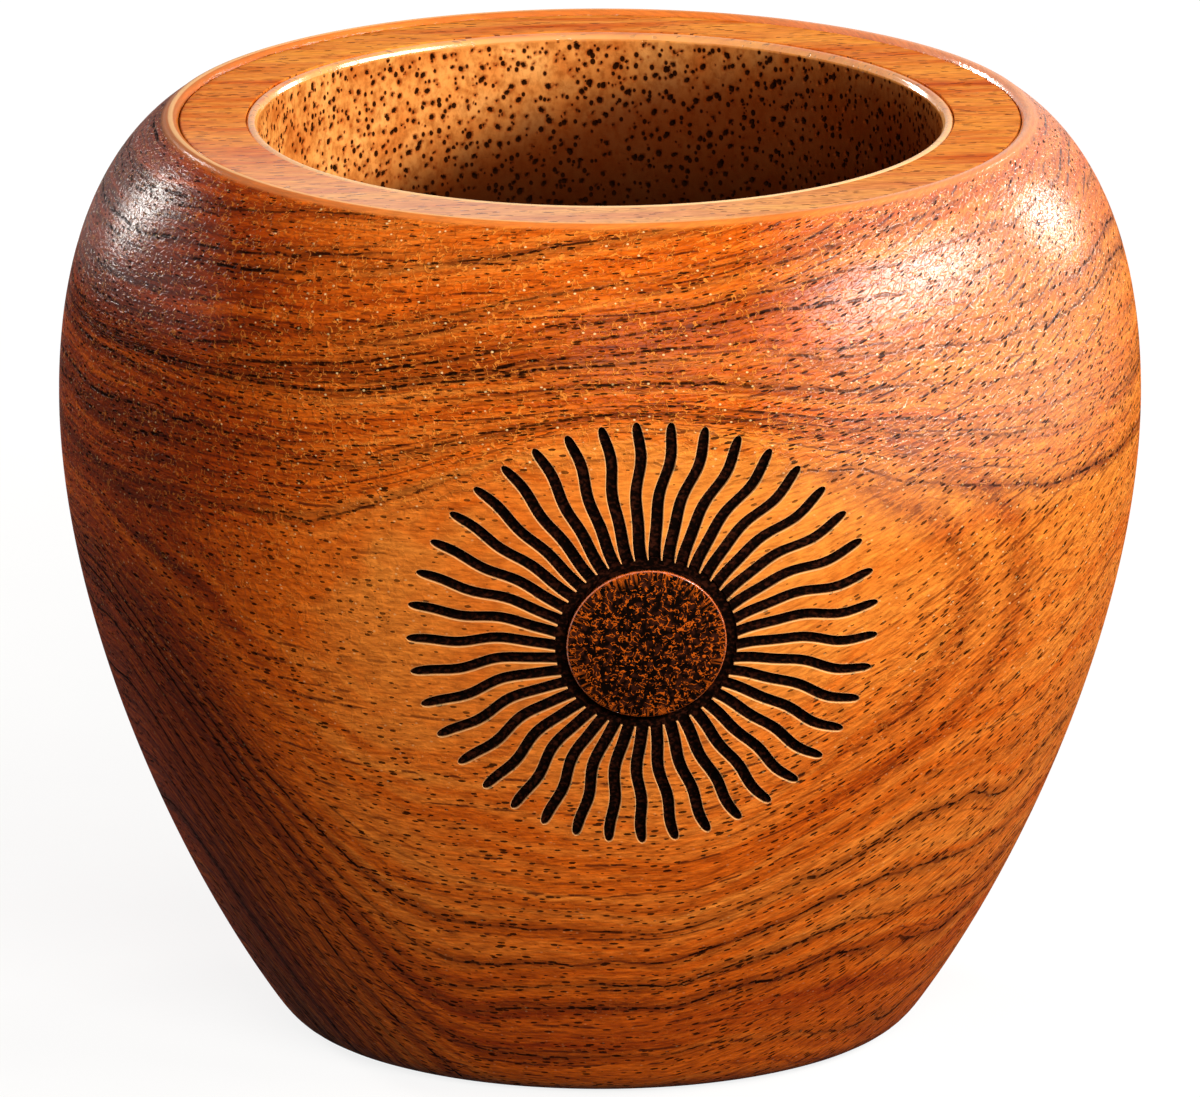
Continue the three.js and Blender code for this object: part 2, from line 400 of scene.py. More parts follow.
def grain_fields(points, length):
    """Point fields of the wood's figure: layers and their stretch, fibres, plain eye and loops."""
    turn = np.degrees(np.arctan2(points[:, 0], -points[:, 1]))
    ring = halve(LAYER_REACH, len(length), lambda label: layer_length(label, turn) > length)
    lift = FIBRE_RISE * ease(turn, *FIBRE_START) * ease(turn, *FIBRE_END)
    course = FIBRE_BEND * ring + (1 - FIBRE_BEND) * (length - EYE_LEVEL) - lift

    # Width of a layer square to its own line, which climbs round the cup
    arc_step = 2 * np.radians(GRAIN_STEP) * np.maximum(np.hypot(points[:, 0], points[:, 1]), 1)
    climb = (layer_length(ring, turn + GRAIN_STEP) - layer_length(ring, turn - GRAIN_STEP)) / arc_step
    width = layer_length(ring + GRAIN_STEP, turn) - layer_length(ring - GRAIN_STEP, turn)
    stretch = width / (2 * GRAIN_STEP) / np.hypot(1, climb)

    plain = (1 - ease(np.abs(ring), *PLAIN_LAYERS)) * swell(turn, *PLAIN_SWELL)
    around = np.hypot((turn - LOOP_TURN) / LOOP_WIDTH, (length - LOOP_LEVEL) / LOOP_HEIGHT)
    loop = sum(np.exp(-((around - size) / LOOP_SOFTNESS) ** 2) for size in LOOP_SIZES)
    loop = loop * ease(turn, *LOOP_START) * ease(turn, *LOOP_END)
    return {"ring": ring, "course": course, "stretch": stretch, "plain": plain, "loop": loop}


def turned(profile, columns):
    """Corner points of a turned profile, a row for each profile point, from -Y towards +X."""
    angles = even_angles(columns)
    radius, level = profile[:, 0:1], profile[:, 1:2]
    x, y = radius * np.sin(angles), -radius * np.cos(angles)
    return np.stack([x, y, np.broadcast_to(level, x.shape)], axis=-1).reshape(-1, 3)


def turned_faces(rows, columns, closed=False, skip=None):
    """Quads between the rows of a turned profile, without those that skip(row, column) names."""
    faces = []
    for row in range(rows if closed else rows - 1):
        low, high = row * columns, (row + 1) % rows * columns
        for column in range(columns):
            if skip and skip(row, column):
                continue
            after = (column + 1) % columns
            faces.append((low + column, low + after, high + after, high + column))
    return faces


def add_object(name, data, place=(0, 0, 0), facing=(1, 0, 0, 0)):
    """A new object in the scene, turned by the quaternion facing."""
    made = bpy.data.objects.new(name, data)
    made.location = place
    made.rotation_mode = "QUATERNION"
    made.rotation_quaternion = facing
    bpy.context.collection.objects.link(made)
    return made


def make_mesh(name, points, faces, fields=None):
    """A smooth-shaded object from points in millimetres, with its fields as point attributes."""
    mesh = bpy.data.meshes.new(name)
    mesh.from_pydata((points * MM).tolist(), [], faces)
    for field, values in (fields or {}).items():
        layer = mesh.attributes.new(field, "FLOAT", "POINT")
        layer.data.foreach_set("value", values.astype(np.float32))
    weld(mesh)
    mesh.shade_smooth()
    mesh.set_sharp_from_angle(angle=math.radians(SHARP_ANGLE))
    return add_object(name, mesh)


def weld(mesh):
    """Joins the corners that meet on the axis and drops loose ones."""
    work = bmesh.new()
    work.from_mesh(mesh)
    bmesh.ops.remove_doubles(work, verts=work.verts, dist=WELD_DISTANCE)
    bmesh.ops.delete(work, geom=[v for v in work.verts if not v.link_faces], context="VERTS")
    work.to_mesh(mesh)
    work.free()


def press(flat):
    """Points of the sun's flat drawing, carried straight in along its axis to the cup's skin."""
    base = SUN_CENTRE + flat[:, 0:1] * SUN_RIGHT + flat[:, 1:2] * SUN_UP

    def outside(height):
        spot = base + height[:, None] * SUN_OUT
        return np.hypot(spot[:, 0], spot[:, 1]) > np.interp(spot[:, 2], SKIN[:, 1], SKIN[:, 0])

    return base + halve(PRESS_REACH, len(flat), outside)[:, None] * SUN_OUT


# Directions of the rays in the sun's flat drawing, in radians from its right
EVEN_TURNS = 2 * np.pi * (np.arange(RAY_COUNT) + 0.5) / RAY_COUNT
RAY_TURNS = EVEN_TURNS + np.radians(RAY_SHIFT + RAY_CROWDING * np.sin(2 * EVEN_TURNS))


def ray_half_width(share):
    inside = np.clip(share, 0, 1)
    return RAY_HALF_WIDTH * (RAY_ROOT_SWELL - RAY_TAPER * inside) * np.sqrt(1 - inside ** RAY_BLUNTNESS)


def ray_sway(share, turn):
    """How far a ray's middle swings to the left: one long bend and a fine ripple."""
    lean = math.cos(turn - math.radians(RAY_LEAN))
    bend = RAY_BEND * lean * np.sin(2 * np.pi * RAY_WAVES * share)
    ripple = np.sin(2 * np.pi * RAY_RIPPLES * share + RAY_RIPPLE_LEAN * lean)
    return bend + RAY_RIPPLE * np.sqrt(share) * ripple


def ray_outline(turn, inset):
    """Closed outline of one wavy ray, moved in by inset."""
    shares = np.sin(np.linspace(0, np.pi / 2, RAY_STEPS))
    kept = shares[ray_half_width(shares) > inset + RAY_SLIVER] if inset > 0 else shares
    half = ray_half_width(kept) - inset
    reach = RAY_ROOT + (RAY_TIP - RAY_ROOT) * kept
    sway = ray_sway(kept, turn)
    out = np.array([math.cos(turn), math.sin(turn)])
    left = np.array([-out[1], out[0]])
    right_side = reach[:, None] * out + (sway - half)[:, None] * left
    left_side = reach[:, None] * out + (sway + half)[:, None] * left
    tip = (RAY_TIP - inset) * out + ray_sway(1.0, turn) * left
    return np.concatenate([right_side, [tip], left_side[::-1]]) * [1, SUN_SQUEEZE]


def circle_outline(radius, steps):
    angles = even_angles(steps)
    return radius * np.stack([np.cos(angles), np.sin(angles)], axis=1)


def carving(flat):
    """How deep the sun is cut at points of its flat drawing, and how near its edge they are."""
    height = flat[:, 1] / SUN_SQUEEZE
    reach = np.hypot(flat[:, 0], height)
    turn = np.arctan2(height, flat[:, 0])
    share = (reach - RAY_ROOT) / (RAY_TIP - RAY_ROOT)
    within = np.full(len(flat), -RAY_TIP)
    for ray in RAY_TURNS:
        across = reach * np.sin(turn - ray) - ray_sway(np.clip(share, 0, 1), ray)
        into = ray_half_width(share) - np.abs(across) - np.maximum(reach - RAY_TIP, 0)
        ahead = (np.cos(turn - ray) > 0) & (share > RAY_START)
        within = np.where(ahead, np.maximum(within, into), within)
    ring = RECESS_RADIUS - np.hypot(flat[:, 0], flat[:, 1])
    depth = np.interp(within, CARVE_INSIDE, CARVE_DEPTHS)
    depth = np.maximum(depth, np.interp(ring, CARVE_INSIDE, RECESS_DEPTHS))
    edge = np.exp(-((np.maximum(within, ring) - EDGE_INSIDE) / EDGE_WIDTH) ** 2)
    return depth, edge


def closed_edges(start, count):
    """Edges of a closed outline whose corners are numbered from start."""
    return [(start + i, start + (i + 1) % count) for i in range(count)]


def draw_patch(border, inner):
    """The sun's flat drawing in triangles: its corners, their faces and the given points that they are."""
    loops = [ray_outline(turn, inset) for inset in CARVE_INSIDE for turn in RAY_TURNS]
    loops += [circle_outline(RECESS_RADIUS - inset, RECESS_STEPS) for inset in CARVE_INSIDE]
    loops += [circle_outline(RECESS_RADIUS * share, RECESS_FLOOR_STEPS) for share in RECESS_FLOOR_RINGS]
    edges = closed_edges(0, len(border))
    start = len(border) + len(inner)
    for loop in loops:
        edges += closed_edges(start, len(loop))
        start += len(loop)
    drawn = [Vector(spot) for spot in np.concatenate([border, inner, *loops]).tolist()]
    spots, _, triangles, sources, _, _ = delaunay_2d_cdt(drawn, edges, [], 1, DRAWING_PRECISION)
    return np.array([(spot.x, spot.y) for spot in spots]), triangles, sources


def body_profile():
    """The body's outline, from the dished foot up the outside and down the bore."""
    dish_edge = np.array([FOOT_RADIUS - FOOT_RING_WIDTH, 0.0])
    top = np.array([0.0, FOOT_DISH])
    bend = np.array([dish_edge[0] * DISH_BEND, FOOT_DISH])
    return np.concatenate([
        bow(top, bend, dish_edge, 14),
        between(dish_edge, FOOT, 4)[1:],
        heel_curve(12)[1:],
        belly_curve(62)[1:],
        shoulder_curve(40)[1:],
        arc(BEAD_CIRCLE, BEAD_LEVEL, BEAD_RADIUS, BEAD_START, 180, 16)[1:],
        between([RABBET_RADIUS, BEAD_LEVEL], [RABBET_RADIUS, SEAT_LEVEL], 3)[1:],
        between([RABBET_RADIUS, SEAT_LEVEL], [BORE_RADIUS, SEAT_LEVEL], 2)[1:],
        bowl_curve(LINER_WALL + GLUE_GAP, LINER_FLOOR, 12),
        [[0, FLOOR_LEVEL - LINER_FLOOR]],
    ])


def build_body():
    """The turned body, with a finely cut patch for the carved sun let into its grid."""
    profile = body_profile()
    radius, level = profile.T
    rows = np.flatnonzero((radius > BORE_RADIUS) & (level > PATCH_LEVELS[0]) & (level < PATCH_LEVELS[1]))
    first, last = rows[0], rows[-1]
    columns = np.arange(-PATCH_COLUMNS, PATCH_COLUMNS + 1) % COLUMNS
    points = turned(profile, COLUMNS)
    in_patch = set(columns[:-1].tolist())
    faces = turned_faces(
        len(profile), COLUMNS, skip=lambda row, column: first <= row < last and column in in_patch)

    # Flat drawing of the patch, with the grid's own corners where they are clear of the carving
    grid = np.arange(first, last + 1)[:, None] * COLUMNS + columns
    border = np.concatenate([grid[0], grid[1:, -1], grid[-1, -2::-1], grid[-2:0:-1, 0]])
    inner = grid[1:-1, 1:-1].ravel()
    away = points - SUN_CENTRE
    flat_grid = np.stack([away @ SUN_RIGHT, away @ SUN_UP], axis=1)
    depth, edge = carving(flat_grid[inner])
    inner = inner[(depth == 0) & (edge < EDGE_CLEAR)]
    flat, triangles, sources = draw_patch(flat_grid[border], flat_grid[inner])

    # Grid corners keep their own points, and the rest are pressed to the skin and cut in
    owners = np.concatenate([border, inner])
    number = len(points) + np.arange(len(flat))
    for index, source in enumerate(sources):
        grid_corner = [s for s in source if s < len(owners)]
        if grid_corner:
            number[index] = owners[grid_corner[0]]
    faces += [number[triangle].tolist() for triangle in triangles]
    depth, edge = carving(flat)
    placed = press(flat)
    sunk = placed - SUN_OUT * depth[:, None]

    # Fields of the turned points, then of the patch
    patch_lengths = np.interp(placed[:, 2], SKIN[:, 1], SKIN_LENGTHS)
    lengths = np.concatenate([np.repeat(profile_lengths(profile), COLUMNS), patch_lengths])
    fields = grain_fields(np.concatenate([points, placed]), lengths)
    on_bead = ease(level, LIP[1] - BEAD_BLEND, LIP[1])
    fields["carve"] = np.concatenate([np.zeros(len(points)), depth])
    fields["edge_highlight"] = np.concatenate([np.zeros(len(points)), edge])
    fields["bead"] = np.concatenate([np.repeat(on_bead, COLUMNS), np.zeros(len(placed))])
    return make_mesh("body_wood", np.concatenate([points, sunk]), faces, fields)


def bore_pores(levels):
    """How far inside an open pore each point of the bore's fine grid lies."""
    draw = np.random.default_rng(PORE_SEED)
    inside = np.full((PORE_ROWS, PORE_COLUMNS), NO_PORE)
    girth = 2 * np.pi * MOUTH_RADIUS
    along = girth * np.arange(PORE_COLUMNS) / PORE_COLUMNS
    for row in range(int((levels[0] - levels[-1]) / PORE_PITCH)):
        for column in range(int(girth / PORE_PITCH)):
            centre = (column + row % 2 / 2 + PORE_JITTER * draw.random()) * PORE_PITCH
            level = levels[0] - (row + PORE_FIRST_ROW + PORE_JITTER * draw.random()) * PORE_PITCH
            size = PORE_SMALL + (PORE_LARGE - PORE_SMALL) * draw.random() ** PORE_SKEW
            lean, stretch = draw.uniform(-PORE_LEAN, PORE_LEAN), draw.uniform(*PORE_STRETCH)
            near = np.flatnonzero(np.abs(levels - level) < PORE_WINDOW)
            away = (along - centre + girth / 2) % girth - girth / 2
            beside = np.flatnonzero(np.abs(away) < PORE_WINDOW)
            rise = (levels[near] - level)[:, None]
            side = away[beside][None, :] - lean * rise
            depth = size - np.hypot(side, rise / stretch)
            window = np.ix_(near, beside)
            inside[window] = np.maximum(inside[window], depth)
    inside[0] = NO_PORE
    return inside


def liner_profile():
    """The liner's outline: the outside with the lip, the fine wall and the bowl."""
    wall_top = np.array([MOUTH_RADIUS, RING_TOP - CHAMFER_FOOT])
    chamfer = np.array([MOUTH_RADIUS + CHAMFER_INSET, RING_TOP - CHAMFER_DROP])
    lip_top = np.array([MOUTH_RADIUS + LIP_ROUND, RING_TOP])
    lip_pull = np.array([MOUTH_RADIUS + LIP_CREST_INSET, RING_TOP])
    lip_level = RING_TOP - LIP_ROUND
    outside = np.concatenate([
        [[0, FLOOR_LEVEL - LINER_FLOOR]],
        bowl_curve(LINER_WALL, LINER_FLOOR, 6)[::-1],
        [[MOUTH_RADIUS + LINER_WALL, SEAT_LEVEL], [LIP_OUTER, SEAT_LEVEL], [LIP_OUTER, lip_level]],
        arc(MOUTH_RADIUS + LIP_ROUND, lip_level, LIP_ROUND, 0, 90, 6)[1:],
        bezier(lip_top, lip_pull, chamfer + CHAMFER_EASE, chamfer, 4)[1:],
        between(chamfer, wall_top, 4)[1:-1],
    ])
    low_radius = np.interp(PORE_LOW, [BOWL[1], wall_top[1]], [BOWL[0], wall_top[0]])
    wall = between(wall_top, [low_radius, PORE_LOW], PORE_ROWS - 1)
    bowl = np.concatenate([
        between(wall[-1], BOWL, 3)[1:],
        bowl_curve(0, 0, 11)[1:],
        [[0, FLOOR_LEVEL]],
    ])
    return outside, wall, bowl


def build_liner():
    """The inner cup: a round lip, a fine grid with open pores below it and a plain bowl."""
    outside, wall, bowl = liner_profile()
    profile = np.concatenate([outside, wall, bowl])
    fine_rows = slice(len(outside), len(outside) + PORE_ROWS)
    pores = bore_pores(wall[:, 1])
    points = turned(profile, PORE_COLUMNS).reshape(len(profile), PORE_COLUMNS, 3)
    grown = 1 + PORE_DEPTH * ease(pores, *PORE_SLOPE) / wall[:, 0:1]
    points[fine_rows, :, :2] *= grown[..., None]
    inside_pore = np.full((len(profile), PORE_COLUMNS), NO_PORE)
    inside_pore[fine_rows] = pores

    on_crest = ease(profile[:, 1], *LIP_LEVELS)
    # Inner side of the lip, painted brighter as a painted highlight
    lip_inner_highlight = on_crest * ease(profile[:, 0], *LIP_INSIDE)
    turn = even_angles(PORE_COLUMNS)
    shade_line_level = SHADE_LINE_LEVEL + SHADE_LINE_TILT * np.sin(turn - math.radians(SHADE_LINE_TURN))
    bore_shade = ease(profile[:, 1:2], shade_line_level + SHADE_LINE_FADE, shade_line_level - SHADE_LINE_FADE)
    fields = {
        "pore": inside_pore.ravel(), "bore_shade": bore_shade.ravel(),
        "crest": np.repeat(on_crest, PORE_COLUMNS), "lip": np.repeat(lip_inner_highlight, PORE_COLUMNS)}
    return make_mesh("liner_wood", points.reshape(-1, 3), turned_faces(len(profile), PORE_COLUMNS), fields)


def build_ring():
    """The flat ring in the mouth, with its edges just eased."""
    low, high = SEAT_LEVEL, RING_TOP
    profile = np.concatenate([
        between([RING_INNER, low], [RING_EDGE, low], 2),
        arc(RING_EDGE - OUTER_ARRIS, high - OUTER_ARRIS, OUTER_ARRIS, 0, 90, 6),
        between([RING_EDGE - OUTER_ARRIS, high], [RING_INNER + INNER_ARRIS, high], 10)[1:-1],
        arc(RING_INNER + INNER_ARRIS, high - INNER_ARRIS, INNER_ARRIS, 90, 180, 6),
    ])
    faces = turned_faces(len(profile), COLUMNS, closed=True)
    return make_mesh("ring_wood", turned(profile, COLUMNS), faces)


def build_disc():
    """The medallion: a low dome with a rounded edge, seated in the recess."""
    edge = np.array([DISC_RADIUS - DISC_EDGE, DISC_LEVEL])
    crown = np.array([0.0, DISC_CROWN])
    bend = np.array([DISC_RADIUS * DISC_BEND, DISC_CROWN])
    seat = GLUE_GAP - RECESS_DEPTH
    profile = np.concatenate([
        [[0, seat], [DISC_RADIUS, seat]],
        arc(DISC_RADIUS - DISC_EDGE, DISC_LEVEL - DISC_EDGE, DISC_EDGE, 0, 90, 8),
        bow(edge, bend, crown, 40)[1:],
    ])
    local = turned(profile, DISC_COLUMNS)
    points = SUN_CENTRE + local @ np.stack([SUN_RIGHT, SUN_UP, SUN_OUT])
    angles = even_angles(DISC_COLUMNS)
    side = np.maximum(DISC_LEVEL - DISC_EDGE / 2 - profile[:, 1], 0)
    fields = {
        "rim": np.repeat((profile[:, 0] + side) / DISC_RADIUS, DISC_COLUMNS),
        "right": np.tile(np.sin(angles), len(profile)), "up": np.tile(np.cos(angles), len(profile))}
    return make_mesh("disc_wood", points, turned_faces(len(profile), DISC_COLUMNS), fields)


class Paint:
    """The node tree of one material, grown by short calls that hand back sockets."""

    def __init__(self, name):
        self.material = bpy.data.materials.new(name)
        self.material.use_nodes = True
        self.tree = self.material.node_tree
        self.shader = self.tree.nodes["Principled BSDF"]

    def node(self, kind, inputs=None, **settings):
        made = self.tree.nodes.new("ShaderNode" + kind)
        for name, value in settings.items():
            setattr(made, name, value)
        for key, value in (inputs or {}).items():
            self.feed(made.inputs[key], value)
        return made

    def feed(self, socket, value):
        if isinstance(value, bpy.types.NodeSocket):
            self.tree.links.new(value, socket)
        else:
            socket.default_value = value

    def millimetres(self):
        """The place on the piece as x, y and z, in millimetres."""
        place = self.node("TexCoord").outputs["Object"]
        scaled = self.node("VectorMath", {0: place, "Scale": 1 / MM}, operation="SCALE").outputs[0]
        return self.node("SeparateXYZ", {0: scaled}).outputs[:3]

    def field(self, name):
        return self.node("Attribute", attribute_name=name).outputs["Fac"]

    def math(self, operation, first, second=0.0):
        return self.node("Math", {0: first, 1: second}, operation=operation).outputs[0]

    def scaled(self, value, weight, base):
        """A value times its weight, on top of a base."""
        return self.node("Math", {0: value, 1: weight, 2: base}, operation="MULTIPLY_ADD").outputs[0]

    def total(self, *terms):
        """Sum of values, each with its weight."""
        result = 0.0
        for value, weight in terms:
            result = self.scaled(value, weight, result)
        return result

    def product(self, first, *others):
        for value in others:
            first = self.math("MULTIPLY", first, value)
        return first

    def most(self, first, *others):
        """The largest of several values."""
        for value in others:
            first = self.math("MAXIMUM", first, value)
        return first

    def rest_of(self, value):
        """What a value leaves of 1."""
        return self.math("SUBTRACT", 1.0, value)

    def span(self, value, start, end):
        """Smooth step from 0 at start to 1 at end."""
        inputs = {"Value": value, "From Min": start, "From Max": end}
        return self.node("MapRange", inputs, interpolation_type="SMOOTHSTEP").outputs[0]

    def flow(self, parts, scales=(1, 1, 1)):
        """A texture place from x, y and z or fields instead of them, each with its own scale."""
        scaled = [self.math("MULTIPLY", part, scale) for part, scale in zip(parts, scales)]
        return self.node("CombineXYZ", {0: scaled[0], 1: scaled[1], 2: scaled[2]}).outputs[0]

    def noise(self, place, scale=1.0, detail=2.0, roughness=0.5):
        inputs = {"Vector": place, "Scale": scale, "Detail": detail, "Roughness": roughness}
        return self.node("TexNoise", inputs).outputs["Fac"]

    def figure(self, parts, scales, detail=2.0, roughness=0.5):
        """Noise at a place made of parts, each with its own scale."""
        return self.noise(self.flow(parts, scales), 1.0, detail, roughness)

    def scatter(self, inputs, dimensions):
        """The distance to the nearest of scattered spots, and three random numbers of its own."""
        spots = self.node("TexVoronoi", inputs, voronoi_dimensions=dimensions)
        return spots.outputs["Distance"], self.node("SeparateColor", {0: spots.outputs["Color"]}).outputs[:3]

    def cells(self, place, scale=1.0):
        return self.scatter({"Vector": place, "Scale": scale}, "3D")

    def lines(self, value):
        """Scattered lines across a value, as scatter gives them."""
        return self.scatter({"W": value, "Scale": 1.0}, "1D")

    def within(self, size, distance, softness):
        """1 where a spot is larger than the distance to its middle."""
        return self.span(self.math("SUBTRACT", size, distance), 0.0, softness)

    def worms(self, place, scale, width):
        """Thin curling lines, where a noise passes its middle."""
        middle = self.math("ABSOLUTE", self.math("SUBTRACT", self.noise(place, scale, 1.0), 0.5))
        return self.span(middle, width, width * 0.4)

    def ramp(self, value, stops):
        made = self.node("ValToRGB", {0: value})
        band = made.color_ramp
        while len(band.elements) < len(stops):
            band.elements.new(0.5)
        for element, (position, colour) in zip(band.elements, stops):
            element.position = position
            element.color = colour
        return made.outputs["Color"]

    def mix(self, share, first, second, blend="MIX"):
        inputs = {0: share, 6: first, 7: second}
        return self.node("Mix", inputs, data_type="RGBA", blend_type=blend).outputs[2]

    def cover(self, colour, upper, *shares):
        """A colour under an upper one, as much of it as the product of the shares."""
        return self.mix(self.product(*shares), colour, upper)

    def relief(self, height, strength=1.0):
        """A bumped normal from a height in millimetres."""
        inputs = {"Height": height, "Distance": MM, "Strength": strength}
        return self.node("Bump", inputs).outputs[0]

    def finish(self, colour, roughness, normal, coat=0.0, coat_roughness=0.2, coat_normal=None):
        """Wires the shader: a dull base under as much clear varnish as coat says."""
        inputs = {
            "Base Color": colour, "Roughness": roughness, "Normal": normal, "Specular IOR Level": 0.0,
            "Coat Weight": coat, "Coat Roughness": coat_roughness, "Coat IOR": 2.0,
            "Coat Normal": coat_normal or normal}
        for name, value in inputs.items():
            self.feed(self.shader.inputs[name], value)
        return self.material


def tint(red, green, blue):
    """A colour given as it looks on screen, as the shader takes it."""
    shares = [value / 255 for value in (red, green, blue)]
    return (*[s / 12.92 if s <= 0.04045 else ((s + 0.055) / 1.055) ** 2.4 for s in shares], 1)


def grey(share):
    return (share, share, share, 1)


# Colours of the wood
HONEY = tint(232, 136, 50)
AMBER = tint(213, 97, 17)
CHESTNUT = tint(160, 57, 4)
UMBER = tint(84, 26, 3)
PITCH = tint(22, 7, 2)
FLAME = tint(248, 160, 60)
CREAM = tint(255, 214, 150)
CHAR = tint(14, 7, 5)
SCORCH = tint(58, 26, 16)
EMBER = tint(218, 98, 20)
TAN = tint(216, 138, 66)
STRAW = tint(232, 160, 86)
GLINT = tint(252, 152, 56)
RUSSET = tint(190, 106, 42)

# What the fine grain multiplies the colours by
BODY_FIBRES = [(0.32, (0.56, 0.46, 0.36, 1)), (0.68, grey(1.3))]
RIM_FIBRES = [(0.3, (0.64, 0.58, 0.52, 1)), (0.7, grey(1.06))]
LINER_CRUMBS = [(0.34, (0.66, 0.54, 0.42, 1)), (0.58, grey(1.15))]


class BodyWood(Paint):
    """Varnished coarse-pored wood. Each add method lays one more thing over a colour."""

    def __init__(self):
        super().__init__("body_wood")
        self.place = self.x, self.y, self.z = self.millimetres()
        self.course, self.stretch = self.field("course"), self.field("stretch")
        self.plain, self.bead = self.field("plain"), self.field("bead")
        self.lively = self.rest_of(self.most(self.plain, self.bead))
        self.left, self.top = self.span(self.x, *SHADED_LEFT_SIDE), self.span(self.z, *TOP_LEVELS)
        self.high = self.scaled(self.span(self.z, *CURL_LEVELS), 0.85, 0.15)
        # The right shoulder: most varnish there, and painted light too: a paler tone and fainter threads
        # under its highlight
        on_shoulder = self.span(self.z, *POLISH_LEVELS)
        self.polished = self.product(
            self.span(self.x, *POLISH_START), self.span(self.x, *POLISH_END), on_shoulder, 0.8)

        # Growth layers, bent by slow and quick waves
        self.sway = self.drawn(self.course, 0.045, 0.06)
        self.ripple = self.drawn(self.course, 0.2, 0.5)
        self.bent = self.total((self.field("ring"), 1.0), (self.sway, 3.4), (self.ripple, 0.7), (1.0, -2.05))

    def drawn(self, across, slow, quick, detail=2.0, roughness=0.5):
        """Noise drawn out along the wood's layers or fibres."""
        return self.figure((self.x, self.y, across), (slow, slow, quick), detail, roughness)

    def layers(self):
        """The layers' colour: darker at the left as painted shade, darker at the top and the foot, and paler
        right of the sun and on the right shoulder as painted light.
        """
        bands = self.drawn(self.bent, 0.012, 0.17)
        streaks = self.drawn(self.bent, 0.03, 1.3, 4.0, 0.62)
        right, foot = self.span(self.x, *LIT_RIGHT_SIDE), self.span(self.z, *FOOT_LEVELS)
        glow = self.product(self.plain, self.span(self.x, *GLOW_SIDE))
        # Painted shade darkens the left, and painted light pales the right and the right shoulder's highlight
        tone = self.total(
            (bands, 0.22), (streaks, 0.32), (self.left, -0.135), (right, 0.03), (glow, 0.045),
            (self.top, -0.045), (foot, -0.05), (self.polished, 0.03), (1.0, 0.28))
        return self.ramp(tone, [(0.34, UMBER), (0.43, CHESTNUT), (0.51, AMBER), (0.62, HONEY)])

    def threads(self, low):
        """Dark threads of the growth lines, their black stitches and their soft dark side."""
        gap, chance = self.lines(self.product(self.bent, 0.5))
        away = self.product(gap, self.stretch, 2.0)
        sinking = self.product(
            self.left, self.span(self.z, *SINKING_LEVELS), self.span(chance[1], 0.55, 0.65))
        fade = self.span(self.drawn(self.bent, 0.035, 0.4), 0.36, 0.56)
        fade = self.most(fade, sinking, self.product(low, 0.6))
        # Painted highlight: the dark threads fade under the right shoulder's highlight
        clear_of_highlight = self.scaled(self.polished, -0.65, 1.0)
        strong = self.product(self.span(chance[0], 0.1, 0.6), fade, self.lively, clear_of_highlight)
        thread = self.product(self.span(away, 0.17, 0.06), strong)
        stitches = self.span(self.drawn(self.bent, 1.1, 0.5, 1.0), 0.49, 0.55)
        self.stitch = self.product(thread, self.most(stitches, sinking))
        self.shade = self.product(self.span(away, 1.4, 0.0), strong)
        return thread

    def faint_threads(self, low):
        """Broken faint threads between the growth lines."""
        gap, chance = self.lines(self.product(self.bent, 1.1))
        dashes = self.span(self.drawn(self.bent, 0.22, 1.6), 0.48, 0.56)
        dashes = self.most(dashes, self.product(low, 0.5))
        return self.product(
            self.span(self.product(gap, self.stretch), 0.15, 0.06), chance[0], dashes, self.lively)

    def strands(self):
        """Short dark strands along the fibres."""
        gap, chance = self.lines(self.total((self.course, 0.75), (self.sway, 1.2), (self.ripple, 0.3)))
        strings = self.span(self.drawn(self.course, 0.4, 1.4), 0.5, 0.56)
        return self.product(self.span(gap, 0.11, 0.04), self.span(chance[0], 0.2, 0.6), strings, self.lively)

    def add_growth_lines(self, colour):
        """Growth lines and what lies between them, and dark loops to the right of the sun."""
        low = self.span(self.z, *LOW_LEVELS)
        thread, loop = self.threads(low), self.field("loop")
        flecks = self.span(self.drawn(self.course, 0.6, 3.0), 0.5, 0.58)
        colour = self.cover(colour, UMBER, self.shade, 0.55)
        colour = self.cover(colour, UMBER, self.strands(), 0.85)
        colour = self.cover(colour, CHESTNUT, loop, 0.5)
        colour = self.cover(colour, UMBER, loop, flecks, 0.6)
        colour = self.cover(colour, UMBER, self.faint_threads(low), 0.75)
        return self.cover(colour, UMBER, thread, 0.6)

    def add_fibres(self, colour):
        """Fine fibres, weaker in the plain eye round the sun."""
        self.fibres = self.drawn(self.course, 0.7, 4.6, 3.0, 0.6)
        strength = self.scaled(self.plain, -0.35, 1.0)
        return self.mix(strength, colour, self.ramp(self.fibres, BODY_FIBRES), "MULTIPLY")

    def add_curls_and_painted_glints(self, colour):
        """Short raised curls of the figure, painted in a pale glint colour as a painted highlight, fewer
        towards the foot and quieter on the painted shade of the left side.
        """
        swapped = self.flow((self.y, self.z, self.x))
        broad = self.worms(self.flow(self.place, (0.95, 0.95, 1.15)), 1.0, 0.026)
        kept = self.span(self.noise(swapped, 1.25, 1.0), 0.5, 0.56)
        fine = self.worms(self.flow(self.place, (1.5, 1.5, 1.8)), 1.0, 0.032)
        torn = self.span(self.noise(swapped, 1.7, 1.0), 0.53, 0.58)
        curls = self.most(self.product(broad, kept), self.product(fine, torn))
        self.curl = self.product(curls, self.lively)
        out_of_shade = self.scaled(self.left, -0.28, 0.58)
        # Painted highlight: pale glint colour on the curls, strongest towards the top
        return self.cover(colour, GLINT, self.curl, self.high, out_of_shade)

